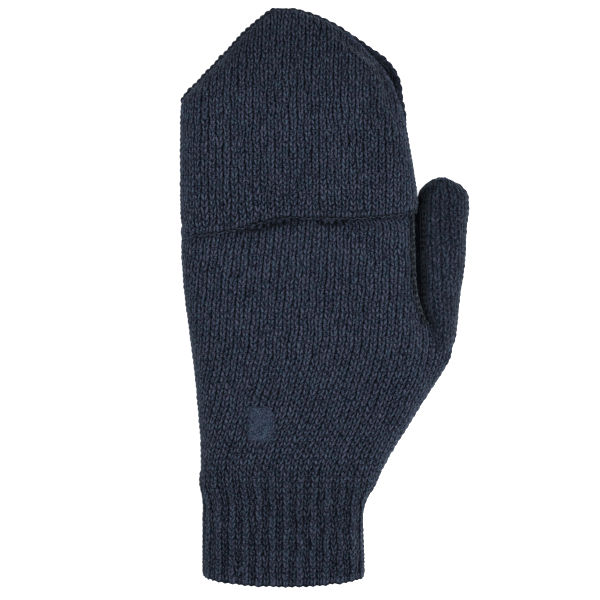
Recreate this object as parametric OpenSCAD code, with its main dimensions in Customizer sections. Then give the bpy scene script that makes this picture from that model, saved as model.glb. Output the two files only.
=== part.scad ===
// Convertible flip-top mitten for a left hand, lying palm down with the fingers along +Y.
// The fingerless glove is the fixed body; the cap flips back over the knuckles and the thumb swings out.
// Origin: under the middle of the mitten's bounding box, on the surface that it lies on.

/* [Mitten] */
// Length from the cuff's edge to the cap's tip
mitten_l = 260; // [258:1:262]
// Width across the knuckles, without the thumb
knuckle_w = 106; // [105:1:107]
// Thickness of one knitted layer
wall = 2; // [1.6:0.1:2]

/* [Cuff] */
// Length of the ribbed cuff
cuff_l = 46; // [44:1:48]
// Width of the cast-on edge band
cuff_band_l = 3; // [2:0.5:4]
// Rounds of elastic thread inside the cuff
elastic_rounds = 4; // [2:1:5]

/* [Fingers] */
// Length of the middle and ring finger stubs
stub_l = 13; // [10:0.5:13]
// Height of a finger stub
stub_h = 12; // [11:0.5:12]
// Width of a finger stub
stub_w = 22.1; // [21:0.1:22.1]
// Length of the rolled edge at a stub's mouth
stub_band_l = 2.4; // [1.5:0.1:3]

/* [Cap] */
// How far the cap's free hem reaches below the hinge on the palm
palm_overlap = 15; // [10:1:15]
// Width of the band along the cap's free hem
palm_hem_w = 4; // [3:0.5:5]

/* [Fastener patch] */
// Size of the hook patch across the hand
patch_w = 10; // [8:0.5:12]
// Size of the hook patch along the hand
patch_l = 13.5; // [11:0.5:15]

/* [Hidden] */

$fn = 32;
navy = [0.17, 0.20, 0.26];
navy_light = [0.24, 0.28, 0.34];
thread = [0.13, 0.15, 0.20];
label_white = [0.85, 0.85, 0.83];

// Every station below is given for the 260 x 106 mm size and scaled from there.
sx = knuckle_w / 106;
sy = mitten_l / 260;
gap = 0.05;

// Stations are [y, left x, right x, bottom z, top z, roundness]; a lower roundness is a squarer section.
round_side = 0.62;
cuff_bottom_y = -130;
cuff_top_y = cuff_bottom_y + cuff_l;
cuff_rows = [
    [cuff_bottom_y, -52.6, 16.0, 0.6, 18.5, round_side],
    [cuff_bottom_y + cuff_band_l, -54.6, 17.2, 0.0, 19.4, round_side],
    [cuff_bottom_y + 20, -54.8, 17.4, 0.0, 20.0, round_side],
    [cuff_top_y - 8, -54.8, 17.6, 0.0, 20.6, round_side],
    [cuff_top_y, -55.0, 20.6, 0.0, 21.6, round_side]
];

// The thumb turns about this upright line. The hand ends in a round knob under it.
thumb_pivot = [48.6, -22];
knob_r = 9.2;
knob_gap = 0.5;
knob_angles = [-25, 0, 25, 45, 65, 90];
function knob_row(r, a, left) =
    [thumb_pivot[1] + r * sin(a), left, thumb_pivot[0] + r * cos(a), 0, 24.3, round_side];

hand_top_y = 38;
hand_rows = concat(
    [
        [cuff_top_y, -55.0, 20.6, 0, 21.6, round_side],
        [-76, -55.3, 26.0, 0, 22.6, round_side],
        [-67, -55.6, 31.0, 0, 23.6, round_side],
        [-58, -56.2, 37.0, 0, 24.4, round_side],
        [-49, -57.0, 42.5, 0, 25.0, round_side],
        [-40, -58.0, 48.2, 0, 25.0, round_side],
        [-31, -58.9, 54.0, 0, 24.8, round_side]
    ],
    [for (a = knob_angles) knob_row(knob_r, a, -60.4)],
    [
        [-12.3, -61.1, 46.4, 0, 24.0, round_side],
        [-9, -61.5, 45.2, 0, 23.8, round_side],
        [0, -62.6, 42.4, 0, 23.2, round_side],
        [9, -63.6, 41.6, 0, 22.6, round_side],
        [19, -64.3, 41.0, 2.7, 22.0, round_side],
        [27, -64.6, 40.8, 2.9, 21.6, round_side],
        [30, -61.6, 38.4, 3.6, 21.3, 0.55],
        [hand_top_y, -57.5, 34.5, 8.5, 20.5, 0.40]
    ]
);
thumb_rows = [
    [-10, 46.9, 59.4, 2.0, 18.0, 0.80],
    [-4, 45.1, 60.2, 1.8, 18.0, 0.80],
    [4, 43.6, 61.4, 1.6, 18.0, 0.80],
    [14, 43.0, 62.8, 1.5, 17.8, 0.80],
    [26, 42.8, 63.8, 1.5, 17.5, 0.80],
    [36, 43.0, 64.8, 1.6, 17.2, 0.80],
    [43, 43.6, 65.0, 2.0, 16.8, 0.80],
    [48, 45.2, 64.0, 3.0, 16.0, 0.80],
    [51.5, 47.8, 61.6, 4.5, 14.5, 0.85],
    [53.4, 51.2, 58.0, 7.0, 12.4, 0.90]
];
cap_side = 0.55;
cap_rows = [
    [45, -64.9, 41.3, 0, 24.1, cap_side],
    [60, -64.6, 39.6, 0, 24.3, cap_side],
    [75, -64.6, 37.0, 0, 24.3, cap_side],
    [85, -64.4, 35.2, 0, 24.2, cap_side],
    [90, -63.6, 34.4, 0.2, 24.1, cap_side],
    [95, -60.3, 33.8, 0.5, 24.0, cap_side],
    [100, -56.3, 32.4, 1.0, 24.0, cap_side],
    [105, -51.9, 30.0, 1.8, 23.9, cap_side],
    [110, -47.3, 25.2, 3.0, 23.7, cap_side],
    [115, -41.8, 18.5, 4.8, 23.4, cap_side],
    [119, -37.8, 12.2, 7.0, 23.0, 0.60],
    [123, -33.2, 6.0, 9.6, 22.5, 0.65],
    [126.5, -28.4, -2.5, 12.4, 21.8, 0.75],
    [129, -24.0, -12.0, 15.4, 20.6, 0.85]
];
cap_tip_x = -18.5;
// The cap's section at and below the hinge line, where the panels and the sewn hem begin.
cap_mouth = [0, -65.0, 41.8, 0, 24.0, cap_side];

// Hinge: a line along X at the crown of the knuckles.
hinge_y = 36;
hinge_gap = 0.3;
hem_top = 23.9;
// Line that the sewn hem follows over the back of the hand, [x, y].
hem_line = [[-65, 27.5], [-34, 32.4], [-16, 34.2], [42, 34.2]];

stub_pitch = (92 - stub_w) / 3;
function stub_x(i) = -57.5 + stub_w / 2 + i * stub_pitch;
stub_bottom = 8.5;
// Little, ring, middle and index finger.
stub_lengths = [stub_l - 2.5, stub_l, stub_l, stub_l - 1.5];
stub_heights = [stub_h - 1.2, stub_h, stub_h, stub_h - 1.2];

patch_at = [-28.6, -56.7];
patch_t = 1.0;
patch_sink = 0.25;

// ---- Section and shell functions ----

function smooth(t) = let (c = min(1, max(0, t))) c * c * (3 - 2 * c);
function powered(v, e) = sign(v) * pow(abs(v), e);
// The underside is widened by this factor and cut off level, which leaves a flat base to lie on.
base_factor = 1.08;

// One point of a station's section at angle a, drawn in by inset.
function section_point(row, a, inset) =
    let (
        rx = (row[2] - row[1]) / 2 - inset,
        rz = (row[4] - row[3]) / 2 - inset,
        lift = powered(sin(a), row[5]) * rz
    )
    [
        (row[1] + row[2]) / 2 + rx * powered(cos(a), row[5]),
        row[0],
        (row[3] + row[4]) / 2 + max(-rz, lift < 0 ? base_factor * lift : lift)
    ];
function section(row, angles, inset) = [for (a = angles) section_point(row, a, inset)];

// Height of a section's upper side at x.
function top_z(row, x, inset = 0) =
    let (
        rx = (row[2] - row[1]) / 2 - inset,
        rz = (row[4] - row[3]) / 2 - inset,
        c = pow(min(1, abs(x - (row[1] + row[2]) / 2) / rx), 1 / row[5])
    )
    (row[3] + row[4]) / 2 + rz * pow(1 - c * c, row[5] / 2);

// The station at y, between the two listed ones on either side of it.
function station(rows, y, c) = lookup(y, [for (r = rows) [r[0], r[c]]]);
function row_at(rows, y) = concat([y], [for (c = [1:5]) station(rows, y, c)]);

function scaled(points) = [for (p = points) [p[0] * sx, p[1] * sy, p[2]]];
function full_turn(n) = [for (i = [0:n - 1]) 360 * i / n];
function arc(from, to, n) = [for (i = [0:n]) from + (to - from) * i / n];

// A closed cloth solid from matching outer and inner rings. Each ring has the same number of points.
module cloth(outer, inner, ring_closed) {
    rings = len(outer);
    n = len(outer[0]);
    points = concat([for (r = outer) each scaled(r)], [for (r = inner) each scaled(r)]);
    last = ring_closed ? n - 1 : n - 2;
    function o(r, i) = r * n + i % n;
    function v(r, i) = rings * n + o(r, i);
    function quad(a, b, c, d) = [[a, b, c], [a, c, d]];
    faces = concat(
        [
            for (r = [0:rings - 2], i = [0:last])
                each quad(o(r, i), o(r, i + 1), o(r + 1, i + 1), o(r + 1, i))
        ],
        [
            for (r = [0:rings - 2], i = [0:last])
                each quad(v(r, i), v(r + 1, i), v(r + 1, i + 1), v(r, i + 1))
        ],
        [for (i = [0:last]) each quad(o(0, i), v(0, i), v(0, i + 1), o(0, i + 1))],
        [for (i = [0:last], r = [rings - 1]) each quad(o(r, i), o(r, i + 1), v(r, i + 1), v(r, i))],
        ring_closed ? [] : [for (r = [0:rings - 2]) each quad(o(r, 0), o(r + 1, 0), v(r + 1, 0), v(r, 0))],
        ring_closed ? [] : [for (r = [0:rings - 2], i = [n - 1])
            each quad(o(r, i), v(r, i), v(r + 1, i), o(r + 1, i))]
    );
    polyhedron(points, faces);
}

// A tube of cloth through whole sections.
module sleeve(rows, inner_rows, n, thickness = wall, inset = 0) {
    angles = full_turn(n);
    cloth(
        [for (r = rows) section(r, angles, inset)],
        [for (r = inner_rows) section(r, angles, inset + thickness)],
        true
    );
}

// One straight stitch between two points.
module stitch(from, to, r) {
    run = to - from;
    translate(from)
        rotate([0, acos(run[2] / norm(run)), atan2(run[1], run[0])])
            cylinder(h = norm(run), r = r, $fn = 16);
}

// ---- Cuff ----

module cuff_edge_band() {
    rows = [cuff_rows[0], cuff_rows[1]];
    color(navy) sleeve(rows, rows, 40);
}

module cuff_rib() {
    rows = [for (i = [1:len(cuff_rows) - 1]) cuff_rows[i]];
    color(navy) sleeve(rows, rows, 40);
}

module cuff_elastic() {
    elastic_w = 1.2;
    elastic_t = 0.5;
    step = (cuff_l - 14) / elastic_rounds;
    color(thread)
        for (i = [0:elastic_rounds - 1]) {
            y = cuff_bottom_y + 8 + i * step;
            rows = [row_at(cuff_rows, y), row_at(cuff_rows, y + elastic_w)];
            sleeve(rows, rows, 40, elastic_t, wall + gap);
        }
}

// A blank label sewn inside the cuff, by its upper edge.
label_w = 24;
label_l = 14;
label_t = 0.4;
label_x = -18;
label_y = cuff_top_y - 24;
label_z = wall + 0.6;

module care_label() {
    color(label_white)
        translate([label_x * sx - label_w / 2, label_y * sy, label_z]) cube([label_w, label_l, label_t]);
}

module care_label_stitches() {
    count = 8;
    color(thread)
        for (i = [0:count - 1])
            translate([
                label_x * sx + ((i + 0.5) / count - 0.5) * label_w,
                (label_y + label_l) * sy - 1,
                wall / 2
            ])
                cylinder(h = label_z + label_t + 0.2 - wall / 2, r = 0.3, $fn = 16);
}

// ---- Hand ----

// The hand's inner stations. Around the knob they follow a smaller circle.
knob_from = 7;
hand_inner_rows = [
    for (i = [0:len(hand_rows) - 1])
        let (k = i - knob_from, r = hand_rows[i])
        k >= 0 && k < len(knob_angles)
            ? knob_row(knob_r - wall, knob_angles[k], r[1]) + [0, 0, wall, 0, 0, 0]
            : [r[0] - (k == len(knob_angles) ? wall : 0), r[1], r[2], r[3], r[4], r[5]]
];
thumb_hole_r = 4.4;
thumb_z = 10;

module hand_tube() {
    color(navy)
        difference() {
            sleeve(hand_rows, hand_inner_rows, 44);
            translate([(thumb_pivot[0] + 2.4) * sx, thumb_pivot[1] * sy, thumb_z])
                rotate([-90, 0, 0]) cylinder(h = 14, r = thumb_hole_r);
        }
}

// Stitches that close the crotch between the hand and the thumb.
module thumb_crotch_stitches() {
    color(thread)
        for (k = [-1:1])
            stitch(
                [46.2 * sx, -12.6 * sy, 14.6 + 1.6 * k],
                [(44.6 - abs(k) * 0.4) * sx, -8.6 * sy, 15.0 + 2.4 * k],
                0.45
            );
}

// ---- Finger stubs ----

module stub_outline(w, h) {
    corner = 5.2;
    r = min(corner, h / 2 - 0.3);
    offset_x = w / 2 - r;
    offset_y = h / 2 - r;
    union() {
        square([w, h - 2 * r], center = true);
        square([w - 2 * r, h], center = true);
        for (i = [-1, 1], j = [-1, 1])
            translate([i * offset_x, j * offset_y]) circle(r = r);
    }
}

module stub_ring(i, from, length, grow = 0) {
    h = stub_heights[i];
    translate([stub_x(i) * sx, from + length, stub_bottom + h / 2])
        rotate([90, 0, 0])
            linear_extrude(height = length)
                difference() {
                    stub_outline(stub_w * sx + 2 * grow, h + 2 * grow);
                    stub_outline(stub_w * sx - 2 * wall, h - 2 * wall);
                }
}

function stub_start() = hand_top_y * sy + gap;

module stub(i) {
    color(navy) stub_ring(i, stub_start(), stub_lengths[i] - stub_band_l);
}

module stub_band(i) {
    color(navy_light) stub_ring(i, stub_start() + stub_lengths[i] - stub_band_l, stub_band_l, 0.3);
}

module little_stub() {
    stub(0);
}

module ring_stub() {
    stub(1);
}

module middle_stub() {
    stub(2);
}

module index_stub() {
    stub(3);
}

module little_edge_band() {
    stub_band(0);
}

module ring_edge_band() {
    stub_band(1);
}

module middle_edge_band() {
    stub_band(2);
}

module index_edge_band() {
    stub_band(3);
}

// Upright bars of thread that close the gaps between the stubs at the finger crotches.
module finger_crotch_stitches() {
    crotch_r = (stub_pitch - stub_w) / 2 - 0.08;
    color(thread)
        for (i = [0:2], k = [0:1])
            translate([
                (stub_x(i) + stub_pitch / 2) * sx,
                stub_start() + crotch_r + 2.4 * k,
                stub_bottom + 1.2
            ])
                cylinder(h = 8.4, r = crotch_r, $fn = 16);
}

// ---- Cap hinge ----

// The part of the cap's hem that is sewn down, below the hinge line on the back of the hand.
hem_angles = arc(184, 2, 30);

module cap_hinge_hem() {
    mouth = [for (c = [0:5]) c == 4 ? hem_top : cap_mouth[c]];
    function edge(inset, at) = [
        for (a = hem_angles)
            let (p = section_point(mouth, a, inset))
            [p[0], at == 0 ? lookup(p[0], hem_line) : hinge_y - hinge_gap, p[2]]
    ];
    color(navy_light)
        cloth([edge(0, 1), edge(0, 0)], [edge(wall, 1), edge(wall, 0)], false);
}

// Stitches through the sewn hem into the back of the hand.
module hinge_stitches() {
    count = 24;
    color(thread)
        for (i = [0:count - 1]) {
            x = -54 + i * 86 / (count - 1);
            y = lookup(x, hem_line) + 1.1;
            z = top_z(cap_mouth, x) - 0.1;
            stitch([x * sx, y * sy, z - 3.4], [x * sx, y * sy, z], 0.4);
        }
}

// Two short bars of dense thread at the ends of the hinge.
module hinge_bar_tacks() {
    color(thread)
        for (side = [[-60.2, 30.2], [36.4, 34.3]])
            for (k = [-1:1]) {
                x = side[0] + k * 0.9;
                z = top_z(cap_mouth, x) - 0.2;
                stitch([x * sx, (side[1] - 0.2) * sy, z - 3.2], [x * sx, (side[1] + 0.8) * sy, z], 0.45);
            }
}

// ---- Fastener patch on the back of the hand ----

patch_row = row_at(hand_rows, patch_at[1]);
patch_slope = atan2(top_z(patch_row, patch_at[0] + 5) - top_z(patch_row, patch_at[0] - 5), 10);

// Puts its children on the back of the hand, level with the knit under the patch.
module on_patch() {
    translate([patch_at[0] * sx, patch_at[1] * sy, top_z(patch_row, patch_at[0]) - patch_sink])
        rotate([0, -patch_slope, 0]) children();
}

module patch_outline(w, l) {
    r = 1.6;
    square([w - 2 * r, l], center = true);
    square([w, l - 2 * r], center = true);
    for (i = [-1, 1], j = [-1, 1])
        translate([i * (w / 2 - r), j * (l / 2 - r)]) circle(r = r);
}

module fastener_patch() {
    color(navy_light) on_patch() linear_extrude(height = patch_t) patch_outline(patch_w, patch_l);
}

module fastener_hooks() {
    columns = 6;
    rows = 8;
    pitch_x = (patch_w - 3.2) / (columns - 1);
    pitch_y = (patch_l - 3.2) / (rows - 1);
    color(navy_light)
        on_patch()
            for (i = [0:columns - 1], j = [0:rows - 1])
                translate([(i - (columns - 1) / 2) * pitch_x, (j - (rows - 1) / 2) * pitch_y, patch_t])
                    cylinder(h = 0.6, r = 0.22, $fn = 16);
}

module fastener_stitching() {
    inset = 0.8;
    across = 5;
    along = 7;
    w = patch_w - 2 * inset;
    l = patch_l - 2 * inset;
    color(thread)
        on_patch()
            union() {
                for (side = [-1, 1], i = [0:across - 1])
                    stitch(
                        [-w / 2 + (i + 0.2) * w / across, side * l / 2, patch_t],
                        [-w / 2 + (i + 0.8) * w / across, side * l / 2, patch_t],
                        0.2
                    );
                for (side = [-1, 1], i = [0:along - 1])
                    stitch(
                        [side * w / 2, -l / 2 + (i + 0.2) * l / along, patch_t],
                        [side * w / 2, -l / 2 + (i + 0.8) * l / along, patch_t],
                        0.2
                    );
            }
}

// ---- Thumb ----

// The base ring lies on a circle about the pivot, clear of the hand's knob.
base_r = knob_r + knob_gap;

module thumb_tube() {
    angles = full_turn(28);
    base = [0, 47.4, 58.0, 2.4, 17.6, 0.80];
    function base_ring(inset) = [
        for (a = angles)
            let (p = section_point(base, a, inset), dx = p[0] - thumb_pivot[0])
            [p[0], thumb_pivot[1] + sqrt(max(0, base_r * base_r - dx * dx)), p[2]]
    ];
    last = len(thumb_rows) - 1;
    outer = concat([base_ring(0)], [for (r = thumb_rows) section(r, angles, 0)]);
    inner = concat(
        [base_ring(wall)],
        [for (i = [0:last]) section(thumb_rows[i], angles, wall)]
    );
    color(navy) cloth(outer, inner, true);
}

// The gathered last round that closes the thumb's tip.
module thumb_tip_closure() {
    tip = thumb_rows[len(thumb_rows) - 1];
    at = [(tip[1] + tip[2]) / 2 * sx, tip[0] * sy + gap, (tip[3] + tip[4]) / 2];
    petals = 6;
    color(navy)
        translate(at)
            rotate([-90, 0, 0])
                intersection() {
                    union() {
                        sphere(r = 1.3);
                        for (i = [0:petals - 1])
                            rotate([0, 0, 360 * i / petals]) translate([1.7, 0, -0.3]) sphere(r = 1.1);
                    }
                    cylinder(h = 2, r = 4);
                }
}

// ---- Cap ----

cap_top_angles = arc(0, 180, 30);
cap_palm_angles = arc(180, 360, 30);

// The free hem on the palm: level with the hinge at the sides, palm_overlap lower across the middle.
function palm_edge_y(a) = hinge_y + hinge_gap - palm_overlap * smooth((-sin(a) - 0.4) / 0.4);
function palm_ring(shift, inset) = [
    for (a = cap_palm_angles)
        let (p = section_point(cap_mouth, a, inset))
        [p[0], palm_edge_y(a) + shift, p[2]]
];

module cap_back_panel() {
    function mouth(inset) = [
        for (a = cap_top_angles)
            let (p = section_point(cap_mouth, a, inset)) [p[0], hinge_y + hinge_gap, p[2]]
    ];
    color(navy)
        cloth(
            concat([mouth(0)], [for (r = cap_rows) section(r, cap_top_angles, 0)]),
            concat([mouth(wall)], [for (r = cap_rows) section(r, cap_top_angles, wall)]),
            false
        );
}

module cap_palm_panel() {
    color(navy)
        cloth(
            concat([palm_ring(palm_hem_w, 0)], [for (r = cap_rows) section(r, cap_palm_angles, 0)]),
            concat([palm_ring(palm_hem_w, wall)], [for (r = cap_rows) section(r, cap_palm_angles, wall)]),
            false
        );
}

module cap_palm_hem() {
    color(navy_light)
        cloth(
            [palm_ring(0, 0), palm_ring(palm_hem_w, 0)],
            [palm_ring(0, wall), palm_ring(palm_hem_w, wall)],
            false
        );
}

// Loops of the linking seam that joins the panels along both shoulders.
module cap_edge_seam() {
    loop_r = 0.9;
    loops = 18;
    seam_from = 88;
    seam_to = 126;
    color(navy_light)
        for (side = [1, 2], i = [0:loops - 1]) {
            y = seam_from + (seam_to - seam_from) * i / (loops - 1);
            r = row_at(cap_rows, y);
            inward = side == 1 ? 0.7 : -0.7;
            translate([(r[side] + inward) * sx, y * sy, (r[3] + r[4]) / 2]) sphere(r = loop_r, $fn = 16);
        }
}

// The last loops, linked across the tip.
module cap_tip_closure() {
    loops = 6;
    tip = cap_rows[len(cap_rows) - 1];
    tip_y = tip[0] * sy + gap;
    r = mitten_l / 2 - tip_y;
    color(navy_light)
        for (i = [0:loops - 1])
            translate([(cap_tip_x + (i - (loops - 1) / 2) * 1.9) * sx, tip_y, (tip[3] + tip[4]) / 2])
                intersection() {
                    sphere(r = r);
                    translate([-r, 0, -r]) cube([2 * r, r, 2 * r]);
                }
}

cuff_edge_band();
cuff_rib();
cuff_elastic();
care_label();
care_label_stitches();
hand_tube();
thumb_crotch_stitches();
little_stub();
ring_stub();
middle_stub();
index_stub();
little_edge_band();
ring_edge_band();
middle_edge_band();
index_edge_band();
finger_crotch_stitches();
cap_hinge_hem();
hinge_stitches();
hinge_bar_tacks();
fastener_patch();
fastener_hooks();
fastener_stitching();
thumb_tube();
thumb_tip_closure();
cap_back_panel();
cap_palm_panel();
cap_palm_hem();
cap_edge_seam();
cap_tip_closure();
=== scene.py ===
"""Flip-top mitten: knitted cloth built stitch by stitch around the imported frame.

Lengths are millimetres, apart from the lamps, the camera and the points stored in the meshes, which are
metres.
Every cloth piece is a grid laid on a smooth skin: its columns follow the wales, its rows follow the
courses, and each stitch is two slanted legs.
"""
import math

import bpy
import numpy as np
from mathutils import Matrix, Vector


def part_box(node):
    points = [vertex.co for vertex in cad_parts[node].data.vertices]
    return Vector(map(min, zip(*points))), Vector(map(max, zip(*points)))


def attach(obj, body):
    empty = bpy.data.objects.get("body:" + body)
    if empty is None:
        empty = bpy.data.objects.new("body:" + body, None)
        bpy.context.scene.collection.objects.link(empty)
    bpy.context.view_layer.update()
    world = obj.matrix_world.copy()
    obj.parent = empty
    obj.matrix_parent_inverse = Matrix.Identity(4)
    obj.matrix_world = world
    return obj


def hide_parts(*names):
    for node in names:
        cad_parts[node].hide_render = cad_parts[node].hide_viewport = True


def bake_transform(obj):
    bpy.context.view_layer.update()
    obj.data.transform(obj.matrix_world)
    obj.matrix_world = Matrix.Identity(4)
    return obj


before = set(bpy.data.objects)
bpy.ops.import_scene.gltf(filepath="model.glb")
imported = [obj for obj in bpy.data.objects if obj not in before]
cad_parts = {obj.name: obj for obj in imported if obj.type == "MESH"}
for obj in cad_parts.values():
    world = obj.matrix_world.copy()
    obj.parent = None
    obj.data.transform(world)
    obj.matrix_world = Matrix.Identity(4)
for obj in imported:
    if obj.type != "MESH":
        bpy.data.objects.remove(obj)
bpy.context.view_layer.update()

MM = 0.001

# The cloth's thickness, and how far to either side of the middle it reaches.
WALL = 1.5
HALF_SPAN = 66.0

# Stitches: how many courses a leg climbs, and how far it stands up from its gaps.
LEG_RISE = 1.0
RELIEF = 0.75

# Depth marks of the cloth's inside and of its turned edges, where 1 is the crown of the yarn: below 1 they
# darken it as painted shade.
INSIDE_DEPTH = 0.6
LIP_DEPTH = 0.8

# Unevenness of the knitting: the slow wander of courses and wales, and each leg's own shift and height.
COURSE_WANDER = 0.12
WALE_WANDER = 0.36
LEG_SHIFT = 0.17
LEG_UNEVEN = 0.28


# ---- Curves and noise ----

def curve(*points):
    """A smooth function through given points that never overshoots them."""
    x, y = np.array(points, float).T
    h = np.diff(x)
    d = np.diff(y) / h
    m = np.concatenate(([d[0]], np.zeros(len(x) - 2), [d[-1]]))
    for i in range(1, len(x) - 1):
        if d[i - 1] * d[i] > 0:
            a = 2 * h[i] + h[i - 1]
            b = h[i] + 2 * h[i - 1]
            m[i] = (a + b) / (a / d[i - 1] + b / d[i])

    def value(t):
        t = np.clip(t, x[0], x[-1])
        i = np.clip(np.searchsorted(x, t) - 1, 0, len(h) - 1)
        s = (t - x[i]) / h[i]
        low = (1 + 2 * s) * (1 - s) ** 2 * y[i] + s * (1 - s) ** 2 * h[i] * m[i]
        high = s * s * (3 - 2 * s) * y[i + 1] + s * s * (s - 1) * h[i] * m[i + 1]
        return low + high

    return value


def constant(value):
    """A function that is the same everywhere."""
    return lambda t: np.full(np.shape(t), float(value))


def smooth(t):
    t = np.clip(t, 0, 1)
    return t * t * (3 - 2 * t)


def hill(t):
    """A soft hill of height 1 that is about 2 wide."""
    return np.exp(-2.2 * np.square(t))


def fraction(t):
    return t - np.floor(t)


def sway(x, y, size, seed):
    """Slow unevenness between about -1 and 1, from a few crossed waves."""
    rng = np.random.default_rng(seed)
    total = 0
    for _ in range(5):
        angle, phase = rng.uniform(0, 2 * math.pi, 2)
        k = rng.uniform(0.6, 1.5) * 2 * math.pi / size
        total = total + np.sin(k * (x * math.cos(angle) + y * math.sin(angle)) + phase)
    return total / 3


# ---- Skins ----

class Skin:
    """A smooth tube along Y whose sections are flat above and below, with round sides.

    A section's path begins on the right at the angle start, then runs over the top to the left and back
    under the bottom. Places on it are given by y and by the arc length from the path's beginning."""
    STEP = 0.5
    SAMPLES = 720

    def __init__(self, y0, y1, left, right, low, high, soft, axis_x=0.0, start=-20, relief=None, rim=0.5):
        self.y0 = y0
        self.ys = np.arange(y0, y1 + 1e-6, self.STEP)
        turn, side = self.path(start)
        xl, xr, zl, zh, reach = (f(self.ys)[:, None] for f in (left, right, low, high, soft))
        half = np.maximum((xr - xl) / 2, 0.4)
        reach = np.minimum(reach, half)
        up = np.sin(np.radians(turn))
        x = (xl + xr) / 2 + (half - reach) * side + reach * np.cos(np.radians(turn))
        z = zl + (zh - zl) * (rim + up * np.where(up > 0, 1 - rim, rim))
        y = np.repeat(self.ys[:, None], len(turn), 1)
        if relief is not None:
            z = z + relief(x, y) * np.clip(up, 0, 1)
        steps = np.hypot(np.diff(x, axis=1), np.diff(z, axis=1))
        arc = np.concatenate((np.zeros((len(self.ys), 1)), np.cumsum(steps, 1)), 1)
        over = slice(np.searchsorted(turn, 0), np.searchsorted(turn, 180) + 1)
        under = slice(np.searchsorted(turn, 180), len(turn))
        self.x_over = x[:, over]
        self.arc_over = arc[:, over]
        self.round = arc[:, -1]
        self.axis_x = axis_x
        self.axis = self.arcs_at(np.full(len(self.ys), axis_x))
        self.axis_under = np.array([np.interp(axis_x, x[i, under], arc[i, under]) for i in range(len(x))])
        self.left = self.arc_over[:, -1]
        share = np.linspace(0, 1, self.SAMPLES)
        self.points = np.empty((len(self.ys), self.SAMPLES, 3))
        for i, level in enumerate(self.ys):
            at = share * arc[i, -1]
            self.points[i, :, 0] = np.interp(at, arc[i], x[i])
            self.points[i, :, 1] = level
            self.points[i, :, 2] = np.interp(at, arc[i], z[i])
        normals = np.cross(np.gradient(self.points, axis=0), np.gradient(self.points, axis=1))
        self.normals = normals / np.maximum(np.linalg.norm(normals, axis=2, keepdims=True), 1e-9)

    @staticmethod
    def path(start):
        """Angle round the section, and side (1 right, -1 left), at every point of the path."""
        legs = [
            (np.linspace(start, 90, 60), 1),
            (np.full(120, 90.0), np.linspace(1, -1, 120)),
            (np.linspace(90, 270, 120), -1),
            (np.full(120, 270.0), np.linspace(-1, 1, 120)),
            (np.linspace(270, start + 360, 60), 1),
        ]
        turn = np.concatenate([t for t, _ in legs])
        side = np.concatenate([np.broadcast_to(s, t.shape) for t, s in legs])
        return turn, side

    def arcs_at(self, x):
        """The arc length at which each stored section passes over x on its upper side."""
        rows = zip(x, self.x_over, self.arc_over)
        return np.array([np.interp(-value, -over, arc) for value, over, arc in rows])

    def along(self, table, y):
        return np.interp(y, self.ys, table)

    def above(self, x, y):
        """The point and normal over the place x, y on the upper side."""
        row = int(np.clip(round((y - self.y0) / self.STEP), 0, len(self.ys) - 1))
        arc = np.interp(-x, -self.x_over[row], self.arc_over[row])
        point, normal = self.at(np.array([float(y)]), np.array([arc]))
        return point[0], normal[0]

    def ring(self, y, offset, count=160):
        """Points all the way round the section at y, offset outward from the skin."""
        arcs = np.linspace(0, self.along(self.round, y), count, endpoint=False)
        points, normals = self.at(np.full(count, float(y)), arcs)
        return points + normals * offset

    def at(self, y, arc):
        """Points and outward normals at y and arc."""
        share = np.clip(arc / np.maximum(self.along(self.round, y), 1e-6), 0, 1)
        i = np.clip((y - self.y0) / self.STEP, 0, len(self.points) - 1.001)
        j = np.clip(share * (self.SAMPLES - 1), 0, self.SAMPLES - 1.001)
        i0, j0 = i.astype(int), j.astype(int)
        u, v = (i - i0)[..., None], (j - j0)[..., None]

        def mixed(table):
            near = table[i0, j0] * (1 - v) + table[i0, j0 + 1] * v
            far = table[i0 + 1, j0] * (1 - v) + table[i0 + 1, j0 + 1] * v
            return near * (1 - u) + far * u

        normals = mixed(self.normals)
        length = np.linalg.norm(normals, axis=-1, keepdims=True)
        return mixed(self.points), normals / np.maximum(length, 1e-9)


# ---- Meshes ----

def mesh_object(name, points, quads, uv, depth, material):
    """A smooth-shaded mesh from points in millimetres. depth is 1 on the yarn's crown and 0 in the gaps;
    lower marks are painted shade.
    """
    keep, index = np.unique(quads, return_inverse=True)
    index = index.reshape(quads.shape)
    mesh = bpy.data.meshes.new(name)
    mesh.vertices.add(len(keep))
    mesh.vertices.foreach_set("co", (points[keep] * MM).astype(np.float32).ravel())
    mesh.loops.add(index.size)
    mesh.loops.foreach_set("vertex_index", index.astype(np.int32).ravel())
    mesh.polygons.add(len(index))
    mesh.polygons.foreach_set("loop_start", np.arange(0, index.size, 4, dtype=np.int32))
    mesh.polygons.foreach_set("use_smooth", np.ones(len(index), bool))
    layer = mesh.uv_layers.new(name="stitches")
    layer.data.foreach_set("uv", uv[keep][index.ravel()].astype(np.float32).ravel())
    crown = mesh.attributes.new("depth", "FLOAT", "POINT")
    crown.data.foreach_set("value", depth[keep].astype(np.float32))
    mesh.materials.append(material)
    mesh.update()
    mesh.validate()
    piece = bpy.data.objects.new(name, mesh)
    bpy.context.scene.collection.objects.link(piece)
    return piece


def grid_quads(rows, columns):
    i = np.arange(rows - 1)[:, None] * columns + np.arange(columns - 1)[None, :]
    return np.stack((i, i + 1, i + columns + 1, i + columns), -1)


class Gauge:
    """How wales lie on a skin: the wale's number on the skin's axis line, and a wale's width, both by y."""
    def __init__(self, number, width):
        self.number = number
        self.width = width


# ---- Stitches ----

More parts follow.
